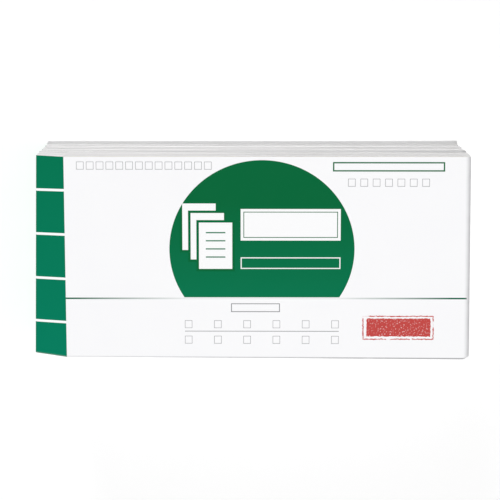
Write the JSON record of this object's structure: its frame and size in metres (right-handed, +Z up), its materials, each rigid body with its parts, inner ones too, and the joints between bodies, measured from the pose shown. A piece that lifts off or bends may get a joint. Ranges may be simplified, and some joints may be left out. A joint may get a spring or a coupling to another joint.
{
  "type": "carbonless receipt book pile",
  "caption": "Pile of carbonless receipt books with wrap covers and stapled margins; each book lifts off, and the top cover turns back with its first tear-off leaves.",
  "frame": {"origin": "on the table, under the middle of the pile's outline", "axes": "+X from the spines to the fore-edges, +Y to the head of the page, +Z up through the front covers"},
  "size_m": [0.1904, 0.0894, 0.048],
  "materials": {
    "cover_card": "coated card, satin",
    "green_card": "coated card, satin",
    "sheets": "matt, trimmed edges",
    "white_leaf": "matt",
    "pink_leaf": "matt",
    "yellow_leaf": "matt",
    "staple_wire": "bright wire"
  },
  "bodies": {
    "book_01": {"book_01_cover": "cover_card", "book_01_sheets": "sheets", "book_01_staple_1": "staple_wire", "book_01_staple_2": "staple_wire"},
    "book_02": {"book_02_cover": "cover_card", "book_02_sheets": "sheets", "book_02_staple_1": "staple_wire", "book_02_staple_2": "staple_wire"},
    "book_03": {"book_03_cover": "cover_card", "book_03_sheets": "sheets", "book_03_staple_1": "staple_wire", "book_03_staple_2": "staple_wire"},
    "book_04": {"book_04_cover": "cover_card", "book_04_sheets": "sheets", "book_04_staple_1": "staple_wire", "book_04_staple_2": "staple_wire"},
    "book_05": {"book_05_cover": "cover_card", "book_05_sheets": "sheets", "book_05_staple_1": "staple_wire", "book_05_staple_2": "staple_wire"},
    "book_06": {"book_06_cover": "cover_card", "book_06_sheets": "sheets", "book_06_staple_1": "staple_wire", "book_06_staple_2": "staple_wire"},
    "book_07": {"book_07_cover": "cover_card", "book_07_sheets": "sheets", "book_07_staple_1": "staple_wire", "book_07_staple_2": "staple_wire"},
    "book_08": {"book_08_cover": "cover_card", "book_08_sheets": "sheets", "book_08_staple_1": "staple_wire", "book_08_staple_2": "staple_wire"},
    "book_09": {"book_09_cover": "cover_card", "book_09_sheets": "sheets", "book_09_staple_1": "staple_wire", "book_09_staple_2": "staple_wire"},
    "top_book": {"top_book_cover": "green_card", "top_book_stubs": "sheets", "top_book_leaves": "sheets", "top_book_staple_1": "staple_wire", "top_book_staple_2": "staple_wire"},
    "front_cover": {"front_cover": "cover_card"},
    "leaf_01": {"leaf_01_white": "white_leaf"},
    "leaf_02": {"leaf_02_pink": "pink_leaf"},
    "leaf_03": {"leaf_03_yellow": "yellow_leaf"},
    "leaf_04": {"leaf_04_white": "white_leaf"},
    "leaf_05": {"leaf_05_pink": "pink_leaf"},
    "leaf_06": {"leaf_06_yellow": "yellow_leaf"},
    "leaf_07": {"leaf_07_white": "white_leaf"},
    "leaf_08": {"leaf_08_pink": "pink_leaf"},
    "leaf_09": {"leaf_09_yellow": "yellow_leaf"},
    "leaf_10": {"leaf_10_white": "white_leaf"},
    "leaf_11": {"leaf_11_pink": "pink_leaf"},
    "leaf_12": {"leaf_12_yellow": "yellow_leaf"},
    "leaf_13": {"leaf_13_white": "white_leaf"},
    "leaf_14": {"leaf_14_pink": "pink_leaf"},
    "leaf_15": {"leaf_15_yellow": "yellow_leaf"}
  },
  "joints": [
    {"name": "lift_book_02", "type": "slide", "parent": "book_01", "child": "book_02", "axis": [0, 0, 1], "range_m": [0, 0.03]},
    {"name": "lift_book_03", "type": "slide", "parent": "book_02", "child": "book_03", "axis": [0, 0, 1], "range_m": [0, 0.03]},
    {"name": "lift_book_04", "type": "slide", "parent": "book_03", "child": "book_04", "axis": [0, 0, 1], "range_m": [0, 0.03]},
    {"name": "lift_book_05", "type": "slide", "parent": "book_04", "child": "book_05", "axis": [0, 0, 1], "range_m": [0, 0.03]},
    {"name": "lift_book_06", "type": "slide", "parent": "book_05", "child": "book_06", "axis": [0, 0, 1], "range_m": [0, 0.03]},
    {"name": "lift_book_07", "type": "slide", "parent": "book_06", "child": "book_07", "axis": [0, 0, 1], "range_m": [0, 0.03]},
    {"name": "lift_book_08", "type": "slide", "parent": "book_07", "child": "book_08", "axis": [0, 0, 1], "range_m": [0, 0.03]},
    {"name": "lift_book_09", "type": "slide", "parent": "book_08", "child": "book_09", "axis": [0, 0, 1], "range_m": [0, 0.03]},
    {"name": "lift_top_book", "type": "slide", "parent": "book_09", "child": "top_book", "axis": [0, 0, 1], "range_m": [0, 0.03]},
    {"name": "cover_hinge", "type": "hinge", "parent": "top_book", "child": "front_cover", "pos_m": [-0.0818, 0, 0.0475], "axis": [0, -1, 0], "range_deg": [0, 180]},
    {"name": "leaf_hinge_01", "type": "hinge", "parent": "top_book", "child": "leaf_01", "pos_m": [-0.0818, 0, 0.0475], "axis": [0, -1, 0], "range_deg": [0, 176.4]},
    {"name": "leaf_hinge_02", "type": "hinge", "parent": "top_book", "child": "leaf_02", "pos_m": [-0.0818, 0, 0.0475], "axis": [0, -1, 0], "range_deg": [0, 172.8]},
    {"name": "leaf_hinge_03", "type": "hinge", "parent": "top_book", "child": "leaf_03", "pos_m": [-0.0818, 0, 0.0475], "axis": [0, -1, 0], "range_deg": [0, 169.2]},
    {"name": "leaf_hinge_04", "type": "hinge", "parent": "top_book", "child": "leaf_04", "pos_m": [-0.0818, 0, 0.0475], "axis": [0, -1, 0], "range_deg": [0, 165.6]},
    {"name": "leaf_hinge_05", "type": "hinge", "parent": "top_book", "child": "leaf_05", "pos_m": [-0.0818, 0, 0.0475], "axis": [0, -1, 0], "range_deg": [0, 162]},
    {"name": "leaf_hinge_06", "type": "hinge", "parent": "top_book", "child": "leaf_06", "pos_m": [-0.0818, 0, 0.0475], "axis": [0, -1, 0], "range_deg": [0, 158.4]},
    {"name": "leaf_hinge_07", "type": "hinge", "parent": "top_book", "child": "leaf_07", "pos_m": [-0.0818, 0, 0.0475], "axis": [0, -1, 0], "range_deg": [0, 154.8]},
    {"name": "leaf_hinge_08", "type": "hinge", "parent": "top_book", "child": "leaf_08", "pos_m": [-0.0818, 0, 0.0475], "axis": [0, -1, 0], "range_deg": [0, 151.2]},
    {"name": "leaf_hinge_09", "type": "hinge", "parent": "top_book", "child": "leaf_09", "pos_m": [-0.0818, 0, 0.0475], "axis": [0, -1, 0], "range_deg": [0, 147.6]},
    {"name": "leaf_hinge_10", "type": "hinge", "parent": "top_book", "child": "leaf_10", "pos_m": [-0.0818, 0, 0.0475], "axis": [0, -1, 0], "range_deg": [0, 144]},
    {"name": "leaf_hinge_11", "type": "hinge", "parent": "top_book", "child": "leaf_11", "pos_m": [-0.0818, 0, 0.0475], "axis": [0, -1, 0], "range_deg": [0, 140.4]},
    {"name": "leaf_hinge_12", "type": "hinge", "parent": "top_book", "child": "leaf_12", "pos_m": [-0.0818, 0, 0.0475], "axis": [0, -1, 0], "range_deg": [0, 136.8]},
    {"name": "leaf_hinge_13", "type": "hinge", "parent": "top_book", "child": "leaf_13", "pos_m": [-0.0818, 0, 0.0475], "axis": [0, -1, 0], "range_deg": [0, 133.2]},
    {"name": "leaf_hinge_14", "type": "hinge", "parent": "top_book", "child": "leaf_14", "pos_m": [-0.0818, 0, 0.0475], "axis": [0, -1, 0], "range_deg": [0, 129.6]},
    {"name": "leaf_hinge_15", "type": "hinge", "parent": "top_book", "child": "leaf_15", "pos_m": [-0.0818, 0, 0.0475], "axis": [0, -1, 0], "range_deg": [0, 126]}
  ],
  "couplings": [
    {"joint": "leaf_hinge_01", "follows": "cover_hinge", "ratio": 0.98},
    {"joint": "leaf_hinge_02", "follows": "cover_hinge", "ratio": 0.96},
    {"joint": "leaf_hinge_03", "follows": "cover_hinge", "ratio": 0.94},
    {"joint": "leaf_hinge_04", "follows": "cover_hinge", "ratio": 0.92},
    {"joint": "leaf_hinge_05", "follows": "cover_hinge", "ratio": 0.9},
    {"joint": "leaf_hinge_06", "follows": "cover_hinge", "ratio": 0.88},
    {"joint": "leaf_hinge_07", "follows": "cover_hinge", "ratio": 0.86},
    {"joint": "leaf_hinge_08", "follows": "cover_hinge", "ratio": 0.84},
    {"joint": "leaf_hinge_09", "follows": "cover_hinge", "ratio": 0.82},
    {"joint": "leaf_hinge_10", "follows": "cover_hinge", "ratio": 0.8},
    {"joint": "leaf_hinge_11", "follows": "cover_hinge", "ratio": 0.78},
    {"joint": "leaf_hinge_12", "follows": "cover_hinge", "ratio": 0.76},
    {"joint": "leaf_hinge_13", "follows": "cover_hinge", "ratio": 0.74},
    {"joint": "leaf_hinge_14", "follows": "cover_hinge", "ratio": 0.72},
    {"joint": "leaf_hinge_15", "follows": "cover_hinge", "ratio": 0.7}
  ]
}
